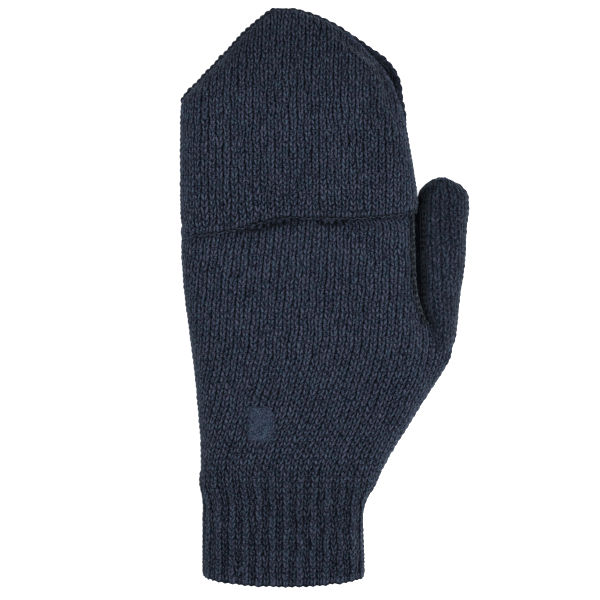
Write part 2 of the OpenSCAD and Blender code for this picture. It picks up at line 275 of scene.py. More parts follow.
def jersey(c, r, y):
    """Height and depth mark of plain knit: two rounded legs in each wale, with gaps round each leg."""
    across = np.abs(2 * fraction(r) - 1)
    body = np.sqrt(np.clip(1 - across ** 1.4, 0, 1))
    s = np.abs(2 * fraction(c) - 1)
    dip = 0.78 * np.exp(-((s / 0.22) ** 2)) + 0.97 * np.exp(-(((1 - s) / 0.26) ** 2))
    crown = body * (1 - dip)
    return RELIEF * (crown - 0.45), crown


def worn_jersey_with_painted_shade(c, r, y):
    """Plain knit whose stitches have been rubbed flatter, with its crowns darkened as painted shade."""
    height, crown = jersey(c, r, y)
    return 0.7 * height, 0.13 + 0.56 * crown


RIB_WIDER = 0.10
RIB_DEPTH = 0.46
rib_share = curve((-131, 1), (-92, 1), (-86, 0.85), (-80, 0.45), (-76, 0.12), (-73, 0.0))


def rib_warp(c, y):
    """Widens every second wale and narrows the one beside it, where the cloth is ribbed."""
    pair = 2 * np.floor(c / 2)
    q = c - pair
    wide = 1 + RIB_WIDER * rib_share(y)
    return pair + np.where(q < 1, q * wide, wide + (q - 1) * (2 - wide))


def ribbed(c, r, y):
    """One knit wale and one sunk purl wale, easing into plain knit above the cuff."""
    share = rib_share(y)
    height, crown = jersey(c, r, y)
    q = c - 2 * np.floor(c / 2)
    sunk = np.where(q < 1, 0, np.sin(math.pi * np.clip(q - 1, 0, 1)) ** 0.6)
    raised = np.where(q < 1, np.sin(math.pi * np.clip(q, 0, 1)) ** 0.7, 0)
    height = height * (1 - 0.3 * share) + share * (0.35 * raised - 0.3 - RIB_DEPTH * sunk)
    # The depth mark is painted shade: softer on the raised ribs, a little darker over the cuff, and darker
    # in the sunk purl wales.
    wear_and_painted_shade = crown + 0.4 * share * raised * (0.56 - crown)
    return height, wear_and_painted_shade * (1 - 0.09 * share) * (1 - 0.24 * share * sunk)


def leg_random(c, r, seed, spread):
    """One random number for each stitch leg."""
    table = np.random.default_rng(seed).normal(0, spread, (256, 256))
    return table[np.floor(c * 2).astype(int) % 256, np.floor(r).astype(int) % 256]


def lip_rows(edge, next_row, inside, count=4):
    """Rows that turn a cloth's edge round from its face to its inside."""
    out = edge - next_row
    out = out / np.maximum(np.linalg.norm(out, axis=1, keepdims=True), 1e-9)
    centre = (edge + inside) / 2
    arm = (edge - inside) / 2
    reach = np.linalg.norm(arm, axis=1, keepdims=True)
    turns = np.linspace(0, math.pi, count + 2)[1:-1]
    return np.stack([centre + arm * math.cos(t) + out * reach * math.sin(t) for t in turns])


def knit(name, skin, gauge, place, courses, material, fine=(8, 5), sides=None, stitch=jersey,
         warp=None, inner=True, lips=(True, False), open_edges=(True, True), under=False, sunk=0.0,
         shade=None, seed=1):
    """Knits a piece of cloth onto a skin.

    place(course, x) gives y, and courses is the first and last course. fine is how many columns a wale and
    how many rows a course are made of. sides gives the arcs that the cloth lies between, or None for the
    whole tube. under says that its wales follow the axis line of the under side. lips says which of its
    first and last edges are turned in, and open_edges which end the cloth: those are nearly straight, and
    the others zigzag into the next piece's stitches. sunk is how far the cloth lies below the skin, away
    from its first side, and shade(x, y) darkens its creases where it is below 1."""
    if sides is None:
        sides = (0 * skin.round, skin.round)
    axis, way = (skin.axis_under, 1) if under else (skin.axis, -1)
    reach = np.array([
        gauge.number(skin.ys) + way * (side - axis) / gauge.width(skin.ys) for side in sides
    ])
    # Only the levels that the cloth may cover say how many wales it needs.
    used = (skin.ys > place(courses[0], 0.0) - 15) & (skin.ys < place(courses[1], 0.0) + 5)
    first, last = math.floor(reach[:, used].min()) - 1, math.ceil(reach[:, used].max()) + 1
    c = np.arange(first * fine[0], last * fine[0] + 1) / fine[0]
    r = np.linspace(courses[0], courses[1], int(round((courses[1] - courses[0]) * fine[1])) + 1)

    def locate(cc, rr, offset):
        # The legs' zigzag is flattened within a course of an open edge.
        rise = LEG_RISE * np.abs(2 * fraction(cc) - 1)
        from_start = smooth((rr - courses[0]) / 0.8)
        v = rr + rise * (0.25 + 0.75 * from_start if open_edges[0] else 1)
        v = v - (v - rr) * (1 - smooth((courses[1] - rr) / 0.7) if open_edges[1] else 0)
        rough_y = place(v, skin.axis_x + 0 * v)
        rough_x = skin.axis_x + (cc - gauge.number(rough_y)) * gauge.width(rough_y)
        y = place(v, np.clip(rough_x, -HALF_SPAN, HALF_SPAN))
        y = y + COURSE_WANDER * sway(cc * 3.1, rr * 2.3, 9, seed + 7)
        number = cc if warp is None else warp(cc, y)
        low, high = (skin.along(side, y) for side in sides)
        arc = skin.along(axis, y) + way * (number - gauge.number(y)) * gauge.width(y)
        arc = arc + WALE_WANDER * sway(cc * 3.1, rr * 2.3, 11, seed + 3)
        arc = arc + leg_random(cc, rr, seed + 9, LEG_SHIFT)
        inside = np.clip(arc, low, high)
        points, normals = skin.at(y, inside)
        flatter = smooth(np.minimum(inside - low, high - inside) / 1.2)
        if open_edges[0]:
            flatter = flatter * (0.3 + 0.7 * from_start)
        height, depth = stitch(cc, rr, y)
        height = 0 * cc if offset else height * (1 + leg_random(cc, rr, seed, LEG_UNEVEN)) * flatter
        if shade is not None:
            depth = depth * shade(points[..., 0], y)
        # The last course of a cloth that goes on in the next piece slips just under it.
        tuck = -sunk * smooth((inside - low) / 2.5)
        if not open_edges[1]:
            tuck = tuck - 0.8 * smooth(rr - courses[1] + 1)
        return points + normals * (height + offset + tuck)[..., None], arc <= low, arc >= high, depth

    points, below, above, depth = locate(*np.meshgrid(c, r), 0)
    sheets = [points]
    marks = [below, above]
    uv_r = [r]
    depths = [depth]
    if inner:
        r_in = np.linspace(courses[0], courses[1], max(2, int((courses[1] - courses[0]) / 2)))
        back, back_below, back_above, _ = locate(*np.meshgrid(c, r_in), -WALL)
        sheets.insert(0, back[::-1])
        uv_r.insert(0, r_in[::-1])
        depths.insert(0, np.full(back.shape[:2], INSIDE_DEPTH))
        marks = [np.concatenate((b[::-1], m)) for m, b in zip(marks, (back_below, back_above))]
        if lips[0]:
            lip = lip_rows(points[0], points[1], back[0])[::-1]
            sheets.insert(1, lip)
            uv_r.insert(1, np.linspace(r[0] - 1, r[0], len(lip) + 1)[:-1])
            depths.insert(1, np.full(lip.shape[:2], LIP_DEPTH))
            at = len(r_in)
            marks = [np.concatenate((m[:at], np.repeat(m[at:at + 1], len(lip), 0), m[at:])) for m in marks]
        if lips[1]:
            lip = lip_rows(points[-1], points[-2], back[-1])
            sheets += [lip, back[-1:]]
            uv_r.append(np.linspace(r[-1], r[-1] + 1, len(lip) + 1))
            depths.append(np.full((len(lip) + 1, len(c)), LIP_DEPTH))
            marks = [np.concatenate((m, np.repeat(m[-1:], len(lip) + 1, 0))) for m in marks]
    points = np.concatenate(sheets)
    uv = np.stack(np.meshgrid(2 * c, np.concatenate(uv_r)), -1)
    quads = grid_quads(*points.shape[:2])
    dead = np.zeros(quads.shape[:2], bool)
    for mark in marks:
        dead |= mark[:-1, :-1] & mark[1:, :-1] & mark[:-1, 1:] & mark[1:, 1:]
    quads = quads[~dead]
    return mesh_object(name, points.reshape(-1, 3), quads[:, ::-1] if under else quads, uv.reshape(-1, 2),
                       np.concatenate(depths).ravel(), material)


# ---- Threads, ropes and rolled edges ----

def tube_parts(path, radius, sides=8, closed=False):
    """Points, quads and UVs of a tube along a path. radius is one number for each point of the path."""
    path = np.asarray(path, float)
    if closed:
        ahead = np.roll(path, -1, 0) - np.roll(path, 1, 0)
    else:
        ahead = np.gradient(path, axis=0)
    ahead = ahead / np.maximum(np.linalg.norm(ahead, axis=1, keepdims=True), 1e-9)
    guide = np.array([0.31, 0.17, 0.93])
    side = np.cross(ahead, guide)
    side = side / np.maximum(np.linalg.norm(side, axis=1, keepdims=True), 1e-9)
    other = np.cross(side, ahead)
    turn = np.linspace(0, 2 * math.pi, sides + 1)
    ring = side[:, None] * np.cos(turn)[None, :, None] + other[:, None] * np.sin(turn)[None, :, None]
    points = path[:, None] + ring * np.asarray(radius, float)[:, None, None]
    if closed:
        points = np.concatenate((points, points[:1]))
    length = np.concatenate(([0], np.cumsum(np.linalg.norm(np.diff(points[:, 0], axis=0), axis=1))))
    uv = np.stack(np.meshgrid(turn / 3, length / 1.6), -1)
    return points.reshape(-1, 3), grid_quads(*points.shape[:2]).reshape(-1, 4), uv.reshape(-1, 2)


def joined(name, parts, material, depth=LIP_DEPTH):
    """One mesh object from several (points, quads, uv) parts, all with one depth mark."""
    points, quads, uv = [], [], []
    count = 0
    for p, q, t in parts:
        points.append(p)
        quads.append(q + count)
        uv.append(t)
        count += len(p)
    points = np.concatenate(points)
    return mesh_object(name, points, np.concatenate(quads), np.concatenate(uv),
                       np.full(len(points), depth), material)


def spaced(path, step, closed=False):
    """The path's points again, at even steps of about step."""
    path = np.asarray(path, float)
    if closed:
        path = np.concatenate((path, path[:1]))
    length = np.concatenate(([0], np.cumsum(np.linalg.norm(np.diff(path, axis=0), axis=1))))
    count = max(3, int(round(length[-1] / step)) + 1)
    at = np.linspace(0, length[-1], count)
    points = np.stack([np.interp(at, length, path[:, k]) for k in range(3)], -1)
    return points[:-1] if closed else points


def linked_rope(path, radius, pitch, closed=False, swell=0.28, seed=5):
    """A rope of knit loops along a path: it swells once every pitch and narrows at its open ends."""
    path = spaced(path, pitch / 6, closed)
    count = len(path)
    phase = np.arange(count) / 6
    rng = np.random.default_rng(seed)
    uneven = rng.normal(1, 0.08, int(phase[-1]) + 2)[phase.astype(int)]
    size = radius * uneven * (1 - swell / 2 + swell * np.abs(np.sin(math.pi * phase)))
    if not closed:
        ends = np.minimum(np.arange(count), count - 1 - np.arange(count)) / 5
        size = size * np.sqrt(np.clip(ends, 0.02, 1))
    return tube_parts(path, size, 10, closed)


def stitch_arch(start, end, rise, radius, segments=8, sides=6):
    """One stitch of thread that arches from start to end, with both ends sunk in the cloth."""
    start, end = np.array(start, float), np.array(end, float)
    t = np.linspace(0, 1, segments + 1)
    path = start + (end - start) * t[:, None] + np.array(rise, float) * np.sin(math.pi * t)[:, None]
    size = radius * np.sqrt(np.clip(np.sin(math.pi * t), 0.05, 1)) ** 0.5
    return tube_parts(path, size, sides)


# ---- Materials ----

def new_material(name):
    material = bpy.data.materials.new(name)
    material.use_nodes = True
    tree = material.node_tree
    tree.nodes.clear()
    output = tree.nodes.new("ShaderNodeOutputMaterial")
    shader = tree.nodes.new("ShaderNodeBsdfPrincipled")
    tree.links.new(shader.outputs[0], output.inputs["Surface"])
    return material, tree, shader


def add(tree, kind, inputs=(), **settings):
    """A node with its settings, and its inputs as {name or number: value or socket}."""
    node = tree.nodes.new("ShaderNode" + kind)
    for key, value in settings.items():
        setattr(node, key, value)
    for key, value in dict(inputs).items():
        if isinstance(value, bpy.types.NodeSocket):
            tree.links.new(value, node.inputs[key])
        else:
            node.inputs[key].default_value = value
    return node


def math_node(tree, operation, a, b=0.0, clamp=False):
    return add(tree, "Math", {0: a, 1: b}, operation=operation, use_clamp=clamp).outputs[0]


def mixed_colour(tree, amount, a, b, blend="MIX"):
    """A colour mix. A Mix node's colour sockets are inputs 6 and 7 and output 2."""
    mix = add(tree, "Mix", {0: amount, 6: a, 7: b}, data_type="RGBA", blend_type=blend)
    return mix.outputs[2]


def noise(tree, where, scale, detail, roughness=0.5):
    """A noise texture node at where."""
    inputs = {"Vector": where, "Scale": scale, "Detail": detail, "Roughness": roughness}
    return add(tree, "TexNoise", inputs)


def yarn(name, dark, light, sheen=0.30, gap=0.06, fleck=0.4):
    """Heathered wool: blended fibres, a tone of its own for each stitch leg, and painted shade in the gaps.
    """
    material, tree, shader = new_material(name)
    uv = add(tree, "UVMap", uv_map="stitches").outputs[0]
    here = add(tree, "TexCoord").outputs["Object"]
    legs = add(tree, "VectorMath", {0: uv}, operation="FLOOR").outputs[0]
    leg_tone = add(tree, "TexWhiteNoise", {"Vector": legs}, noise_dimensions="2D").outputs["Value"]
    stretched = add(tree, "VectorMath", {0: uv, 1: (0.9, 6.0, 1.0)}, operation="MULTIPLY").outputs[0]
    fibres = noise(tree, stretched, 1.6, 4.0, 0.7).outputs[0]
    cloud = noise(tree, here, 70.0, 3.0).outputs[0]
    flecks = noise(tree, here, 420.0, 3.0, 0.7).outputs[0]
    grain = noise(tree, here, 1700.0, 0.0).outputs[0]
    tone = math_node(tree, "MULTIPLY", leg_tone, 0.45)
    for source, share in ((fibres, 1.1), (cloud, 0.5), (grain, 4.2)):
        tone = math_node(tree, "ADD", tone, math_node(tree, "MULTIPLY", source, share))
    # What is left is a little above 0.5 where every source is at its middle.
    tone = math_node(tree, "SUBTRACT", tone, 2.56, clamp=True)
    colour = mixed_colour(tree, tone, (*dark, 1), (*light, 1))
    ramp = add(tree, "ValToRGB", {0: flecks})
    ramp.color_ramp.elements[0].position = 0.40
    ramp.color_ramp.elements[0].color = (0.55, 1.15, 1.12, 1)
    ramp.color_ramp.elements[1].position = 0.62
    ramp.color_ramp.elements[1].color = (1.32, 1.02, 1.18, 1)
    middle = ramp.color_ramp.elements.new(0.51)
    middle.color = (0.98, 0.98, 1.0, 1)
    flecked = mixed_colour(tree, 1.0, colour, ramp.outputs[0], "MULTIPLY")
    colour = mixed_colour(tree, fleck, colour, flecked)
    # Painted shade: the depth mark darkens the yarn down to gap, in the gaps round each leg and wherever a
    # piece's mark is lower.
    crown = add(tree, "Attribute", attribute_name="depth").outputs["Fac"]
    lit = add(tree, "MapRange", {0: crown, 1: 0.12, 2: 0.85, 3: gap, 4: 1.0}).outputs[0]
    lit_colour = add(tree, "CombineColor", {0: lit, 1: lit, 2: lit}).outputs[0]
    colour = mixed_colour(tree, 1.0, colour, lit_colour, "MULTIPLY")
    tree.links.new(colour, shader.inputs["Base Color"])
    shader.inputs["Roughness"].default_value = 0.95
    shader.inputs["Specular IOR Level"].default_value = 0.04
    shader.inputs["Sheen Weight"].default_value = sheen
    shader.inputs["Sheen Roughness"].default_value = 0.3
    shader.inputs["Sheen Tint"].default_value = (0.50, 0.62, 0.75, 1)
    fuzz = noise(tree, here, 2600.0, 3.0, 0.7).outputs[0]
    rough = math_node(tree, "ADD", math_node(tree, "MULTIPLY", fuzz, 0.5), fibres)
    bump = add(tree, "Bump", {"Strength": 0.55, "Distance": 0.0004, "Height": rough}).outputs[0]
    tree.links.new(bump, shader.inputs["Normal"])
    return material


def cloth_label(name):
    """White satin ribbon with a fine weave."""
    material, tree, shader = new_material(name)
    here = add(tree, "TexCoord").outputs["Object"]
    threads = add(tree, "TexWave", {"Vector": here, "Scale": 900.0, "Distortion": 0.4})
    grime = noise(tree, here, 160.0, 3.0).outputs[0]
    colour = mixed_colour(tree, grime, (0.70, 0.70, 0.68, 1), (0.84, 0.84, 0.82, 1))
    tree.links.new(colour, shader.inputs["Base Color"])
    shader.inputs["Roughness"].default_value = 0.42
    bump = add(tree, "Bump", {"Strength": 0.25, "Distance": 0.0001, "Height": threads.outputs["Fac"]})
    tree.links.new(bump.outputs[0], shader.inputs["Normal"])
    return material


body_yarn = yarn("body_yarn", (0.0082, 0.0114, 0.0224), (0.0645, 0.0785, 0.1215))
edge_yarn = yarn("edge_yarn", (0.0090, 0.0124, 0.0238), (0.0665, 0.0810, 0.1255))
seam_yarn = yarn("seam_yarn", (0.0050, 0.0070, 0.0140), (0.0330, 0.0410, 0.0640))
thread = yarn("thread", (0.0060, 0.0080, 0.0150), (0.0260, 0.0330, 0.0520), sheen=0.05, gap=0.8)
hook_tape = yarn("hook_tape", (0.0056, 0.0086, 0.0172), (0.0360, 0.0490, 0.0800), gap=0.6)
hook_bristle = yarn("hook_bristle", (0.0120, 0.0180, 0.0335), (0.0700, 0.0920, 0.1440), gap=0.8)
elastic_thread = yarn("elastic_thread", (0.012, 0.014, 0.020), (0.040, 0.045, 0.060), sheen=0.05, gap=0.8)
label_cloth = cloth_label("label_cloth")


# ---- Hand and cuff ----

hand_left = curve(
    (-131, -52.0), (-129, -53.9), (-124, -54.9), (-99, -54.9), (-94.5, -54.7), (-90, -55.1),
    (-82, -56.4), (-76.5, -55.5), (-67, -55.6), (-49, -56.9), (-31, -58.7), (-13, -61.0), (5, -63.2),
    (24, -64.4), (29, -63.4), (38.5, -58.0)
)
hand_right = curve(
    (-131, 15.8), (-129, 17.4), (-124, 18.2), (-99, 17.6), (-94.5, 18.1), (-90, 19.6), (-85.5, 22.4),
    (-76.5, 26.6), (-67.5, 31.4), (-58.5, 37.2), (-49.5, 42.7), (-40.5, 48.6), (-31.5, 54.3),
    (-26, 57.0), (-22, 57.6), (-18, 56.0), (-15, 52.0), (-12, 47.6), (-9, 45.2), (-4.5, 43.6), (0, 42.2),
    (9, 41.2), (27, 40.6), (34, 40.4), (38.5, 40.2)
)
hand_low = curve((-131, 0.9), (-126, 0.2), (9, 0.2), (19, 2.9), (28, 3.4), (38.5, 8.5))
hand_high = curve(
    (-131, 18.2), (-126, 19.6), (-92, 20.4), (-76, 22.4), (-58, 24.2), (-40, 24.8), (-22, 24.2),
    (0, 23.2), (19, 21.8), (27, 21.2), (38.5, 20.4)
)
hand_soft = curve((-131, 10), (-90, 11), (-60, 14), (-20, 14), (10, 13), (38.5, 7))

# The line that the cap's hem follows over the back of the hand: y by x.
hem_y = curve((-66, 27.5), (-49, 28.8), (-33, 32.2), (-15, 35.8), (9, 35.4), (26, 36.4), (42, 38.6))


def hand_relief(x, y):
    """A low place on the back of the hand for the thumb, and a swell and two dents below the cap's hem."""
    gusset = -6.2 * smooth((x - 34) / 16) * smooth((y + 48) / 26) * smooth((-4 - y) / 6)
    below_hem = hem_y(x) - y
    swell = 1.5 * hill((below_hem - 7.5) / 6) * smooth((below_hem - 1) / 5)
    swell = swell - 3.8 * hill((below_hem - 0.4) / 2.4) * (hill((x + 24) / 15) + hill((x - 3) / 9))
    waves = 0.35 * sway(x, y, 46, 21) * smooth((y + 95) / 30) * smooth((30 - y) / 8)
    return gusset + swell + waves


def crease(x):
    """How hard the cap's hem presses into a crease, and so how deep the painted shade there is, from 0 to
    1.
    """
    return 0.35 + 0.65 * np.clip(hill((x + 25) / 16) + hill((x - 3) / 10), 0, 1)


def hand_shade(x, y):
    """Painted shade in the crease below the cap's hem, and where the hand turns down beside the thumb."""
    hem = 0.95 * hill((hem_y(x) - y - 1.3 * crease(x)) / 2.7) * crease(x)
    beside_thumb = 0.84 * smooth((x - hand_right(y) + 3.7) / 2.6) * smooth((y + 18) / 8)
    return 1 - np.maximum(hem, beside_thumb)


hand_skin = Skin(-86, 38.5, hand_left, hand_right, hand_low, hand_high, hand_soft, -10, relief=hand_relief)
cuff_skin = Skin(-131, -78, hand_left, hand_right, hand_low, hand_high, hand_soft, -10)
hand_gauge = Gauge(
    curve((-131, 11.0), (-82, 10.8), (-50, 7.8), (-22, 5.7), (0, 5.2), (38, 4.4)),
    curve((-131, 3.05), (-94, 3.05), (-82, 3.24), (-50, 3.45), (-22, 3.59), (0, 3.60), (38, 3.41))
)
CUFF_EDGE = -130.0
CUFF_TOP = -84.0
HAND_TOP = 38.0
HAND_COURSE = 2.62
CUFF_COURSES = 18
CUFF_COURSE = (CUFF_TOP - CUFF_EDGE) / CUFF_COURSES


def cuff_course(v, x):
    """Level courses, over a cast-on edge that bows down in the middle."""
    return CUFF_EDGE + v * CUFF_COURSE + 3.6 * (np.abs(x + 18) / 36) ** 2.2 * (1 - smooth(v / 8))


def level_courses(first, height):
    """Courses that lie level, from y = first and height apart."""
    return lambda v, x: first + v * height


cuff = knit("cuff", cuff_skin, hand_gauge, cuff_course, (0, CUFF_COURSES + 1), body_yarn,
            stitch=ribbed, warp=rib_warp, open_edges=(True, False), seed=11)
hand = knit("hand", hand_skin, hand_gauge, level_courses(CUFF_TOP, HAND_COURSE),
            (0, (HAND_TOP - CUFF_TOP) / HAND_COURSE), body_yarn, fine=(6, 4), stitch=ribbed,
            warp=rib_warp, lips=(False, False), open_edges=(False, True), shade=hand_shade, seed=12)

# ---- Thumb ----

thumb_left = curve(
    (-38, 38.0), (-30, 43.0), (-22, 46.0), (-12, 46.6), (-9, 45.2), (-4.5, 43.2), (0, 41.8), (9, 40.8),
    (27, 40.2), (38, 40.3), (46, 42.1), (49, 43.4), (52, 46.4), (53.6, 49.4), (54.4, 52.5)
)
thumb_right = curve(
    (-38, 43.5), (-31, 50.0), (-26, 55.0), (-22, 57.8), (-18, 59.2), (-9, 60.3), (0, 61.2), (18, 63.7),
    (31.5, 64.3), (40.5, 65.3), (46, 65.0), (49, 63.5), (52.2, 59.4), (54.4, 54.0)
)
thumb_low = curve((-38, 6), (-20, 2), (0, 1.2), (40, 1.2), (48, 3), (52, 6), (54.4, 10))
thumb_high = curve(
    (-38, 13.5), (-28, 16.6), (-20, 18.4), (-12, 18.8), (0, 18.0), (36, 17.4), (44, 16.6), (49, 15.2),
    (52.5, 12.8), (54.4, 10.6)
)


def thumb_relief(x, y):
    """The thumb's inner side falls away steeply beside the hand."""
    reach = 5.0 + 1.6 * smooth((y + 8) / 20)
    return -8.0 * smooth((thumb_left(y) + reach - x) / 4.4) * smooth((y + 16) / 8) * smooth((51 - y) / 8)


def thumb_shade(x, y):
    """Painted shade deep between the thumb and the hand, and over the thumb's upper part."""
    reach = 5.0 + 2.2 * smooth((y + 8) / 20)
    inner = 0.86 * smooth((thumb_left(y) + reach - x) / 4.0) * smooth((y + 16) / 8) * smooth((52 - y) / 10)
    return (1 - inner) * (1 - 0.15 * smooth((y - 16) / 20))


thumb_skin = Skin(-38, 54.4, thumb_left, thumb_right, thumb_low, thumb_high, constant(8.8), 54.0,
                  relief=thumb_relief, rim=0.36)
thumb_gauge = Gauge(
    curve((-38, 0.0), (54, 0.6)),
    curve((-38, 3.6), (-15, 3.8), (0, 4.1), (44, 4.1), (54.4, 2.8))
)
THUMB_ROOT = -37.5
THUMB_LENGTH = 91.6
THUMB_COURSE = 2.6
thumb = knit("thumb", thumb_skin, thumb_gauge, level_courses(THUMB_ROOT, THUMB_COURSE),
             (0, THUMB_LENGTH / THUMB_COURSE), body_yarn, stitch=worn_jersey_with_painted_shade, inner=False,
             lips=(False, False), shade=thumb_shade, seed=13)

# ---- Cap ----

CAP_TOP = 130.3
cap_left = curve(
    (14, -63.8), (30, -63.8), (37, -64.6), (60, -64.9), (84, -64.7), (88.5, -64.0), (92, -61.4),
    (98, -55.6), (112, -42.2), (120, -34.6), (126, -27.4), (128.6, -23.8), (CAP_TOP, -19.5)
)
cap_right = curve(
    (14, 40.6), (34, 41.0), (39, 41.4), (44, 42.0), (49.5, 41.4), (67.5, 38.6), (85.5, 35.3),
    (90, 34.4), (94.5, 34.0), (99, 32.7), (103.5, 30.4), (108, 26.0), (112.5, 19.6), (117, 13.3),
    (121.5, 6.3), (126, -2.8), (129, -12.0), (CAP_TOP, -17.5)
)
cap_low = curve(
    (14, 1.0), (30, 1.0), (44, 0.2), (88, 0.2), (100, 1.2), (112, 4.0), (122, 9.4), (128, 14.6),
    (CAP_TOP, 17.6)
)
cap_high = curve((14, 24.0), (60, 24.4), (90, 24.2), (112, 23.4), (124, 22.2), (CAP_TOP, 19.6))

# How far the back panel's edge lies inside the outline on the right shoulder, by y.
front_inset = curve(
    (14, 0), (74, 0), (82, 0.6), (90, 2.0), (96, 3.6), (102, 4.9), (108, 4.6), (113, 2.8),
    (118, 0.9), (122, 0)
)


def cap_relief(x, y):
    """The back panel's rolled hem, its puckers near the hinge line, and its fall to the right shoulder."""
    puckers = 0
    for centre, lean, width, height in ((11, 0.2, 3.4, -0.8), (18, 0.45, 3.0, 0.7), (26, 0.6, 3.6, -0.8)):
        puckers = puckers + height * hill((x - centre - lean * (y - 36)) / width)
    puckers = puckers * smooth((y - 30) / 5) * smooth((64 - y) / 24)
    above_hem = y - hem_y(x)
    roll = -1.6 * smooth((3.6 - above_hem) / 4.2) + 0.5 * hill((above_hem - 7) / 5)
    lifted = 1.5 * hill((above_hem - 1) / 4) * (hill((x + 25) / 15) + 0.7 * hill((x - 3) / 9))
    drawn_down = -2.1 * front_inset(y) * smooth((x - cap_right(y) + 11) / 8)
    return puckers + roll + lifted + drawn_down + 0.45 * sway(x, y, 52, 31)


def cap_shade(x, y):
    """Painted shade where the hem rolls under, beside the shoulder seam, on the right and towards the tip.
    """
    hem = 0.85 * smooth((3.0 - y + hem_y(x)) / 3.0) * crease(x)
    shoulder = 0.09 * front_inset(y) * smooth((x - cap_right(y) + 11) / 6)
    right = 0.13 * smooth((x - 14) / 14) * smooth((y - 52) / 18)
    return (1 - hem) * (1 - shoulder) * (1 - right) * (1 - 0.24 * smooth((y - 76) / 44))


cap_skin = Skin(14, CAP_TOP, cap_left, cap_right, cap_low, cap_high, constant(12), -12, start=0,
                relief=cap_relief)
cap_gauge = Gauge(
    curve((14, -0.1), (36, 0.0), (90, 0.15), (130, -0.2)),
    curve((14, 3.34), (60, 3.32), (130, 3.26))
)
CAP_COURSE = 2.5
HEM_MIDDLE = 34.0


def back_course(v, x):
    """Courses that follow the hem at first, then straighten."""
    return HEM_MIDDLE + v * CAP_COURSE + (hem_y(x) - HEM_MIDDLE) * (1 - smooth(v / 14))


# How far the side cloth draws in beside the hinge, by y.
hinge_inset = curve((14, 9.5), (40, 9.5), (50, 0), (131, 0))
front_low = cap_skin.arcs_at(cap_right(cap_skin.ys) - front_inset(cap_skin.ys)) + hinge_inset(cap_skin.ys)
back_left = cap_skin.left - hinge_inset(cap_skin.ys)
cap_back = knit("cap_back", cap_skin, cap_gauge, back_course,
                (0, (CAP_TOP - HEM_MIDDLE) / CAP_COURSE), body_yarn,
                sides=(front_low, back_left), shade=cap_shade, seed=14)

PALM_LOW = 21.3
PALM_HEM_COURSES = 1.7
SHOULDER_FOOT = 38.8
SHOULDER_TOP = 124.0


def palm_course(v, x):
    """Courses of the palm side. The free hem is low in the middle and meets the hinge line at the sides."""
    across = x + 11.5
    sides = 33.0 + 0.106 * across
    drop = smooth((46 - np.abs(across)) / 22)
    return PALM_LOW + v * CAP_COURSE + (sides - PALM_LOW) * (1 - drop) * (1 - smooth(v / 16))


palm_sides = (back_left, cap_skin.round)
cap_palm = knit("cap_palm", cap_skin, cap_gauge, palm_course,
                (0, (CAP_TOP - PALM_LOW) / CAP_COURSE), body_yarn,
                fine=(6, 4), sides=palm_sides, under=True, seed=15)
palm_hem = knit("cap_palm_turned_hem", cap_skin, cap_gauge, palm_course,
                (-0.15, PALM_HEM_COURSES), edge_yarn,
                fine=(6, 4), sides=palm_sides, lips=(True, True), under=True, sunk=-0.6, seed=17)


def strip_shade(x, y):
    """Painted shade on the upper part of the strip, where the back panel stands over it."""
    return 1 - 0.62 * smooth((y - 70) / 12)


strip = knit("cap_shoulder_strip", cap_skin, cap_gauge, level_courses(SHOULDER_FOOT, CAP_COURSE),
             (0, (SHOULDER_TOP - SHOULDER_FOOT) / CAP_COURSE), body_yarn,
             sides=(0 * front_low, front_low + 3.0), inner=False, lips=(False, False), sunk=1.3,
             shade=strip_shade, seed=16)

# ---- Finger stubs ----

FINGERS = ("little", "ring", "middle", "index")
STUB_COURSE = 2.5
CORNER_STITCHES = 10
CORNER_REACH = 5.0


def node_box(node):
    """A CAD node's lowest and highest corners, in millimetres."""
    low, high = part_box(node)
    return np.array(low) / MM, np.array(high) / MM


def finger_stub(finger, seed):
    """A finger's short tube, and the rolled edge round its mouth."""
    low, high = node_box(finger + "_stub")
    mouth = node_box(finger + "_edge_band")[1][1]
    root = low[1] - 1.5
    skin = Skin(root, mouth, constant(low[0] + 0.4), constant(high[0] - 0.4), constant(low[2] + 0.3),
                constant(high[2] - 0.3), constant(6.0), (low[0] + high[0]) / 2)
    stub = knit(finger + "_finger", skin, Gauge(constant(0), constant(3.2)),
                level_courses(root, STUB_COURSE), (0, (mouth - 1 - root) / STUB_COURSE), body_yarn,
                fine=(6, 4), lips=(False, True), seed=seed)
    rolled = linked_rope(skin.ring(mouth - 1.3, -0.5), 1.25, 2.6, closed=True, seed=seed)
    return stub, joined(finger + "_rolled_edge", [rolled], edge_yarn)


stubs = {finger: finger_stub(finger, 40 + i) for i, finger in enumerate(FINGERS)}


def crotch_stitches():
    """Thread that draws neighbouring finger stubs together, and closes the corner beside the index stub."""
    parts = []
    for left, right in zip(FINGERS, FINGERS[1:]):
        left_box, right_box = node_box(left + "_stub"), node_box(right + "_stub")
        middle = (left_box[1][0] + right_box[0][0]) / 2
        root = left_box[0][1]
        for z in np.linspace(left_box[0][2] + 1.5, left_box[0][2] + 9.5, 7):
            parts.append(stitch_arch((middle - 1.4, root + 1.6, z), (middle + 1.4, root + 2.2, z + 0.5),
                                     (0, 1.4, 0), 0.5))
    low, high = node_box("index_stub")
    for offset in np.linspace(-CORNER_REACH, CORNER_REACH, CORNER_STITCHES):
        z = (low[2] + high[2]) / 2 + offset
        rim = (39.8 - 0.10 * offset ** 2, low[1] - 1.2, z)
        parts.append(stitch_arch(rim, (high[0] - 1.2, low[1] + 0.6, z), (0, 0.7, 0), 0.85))
    return joined("finger_crotch_threads", parts, thread)


# ---- Hem, seams and closures ----

HEM_STITCHES = 24

# Where the sewn hem ends, with the way inward from there, and its bar tacks.
HEM_ENDS = ((-62.0, 1), (38.5, -1))
TACK_BARS = 3
TACK_SPACING = 1.3


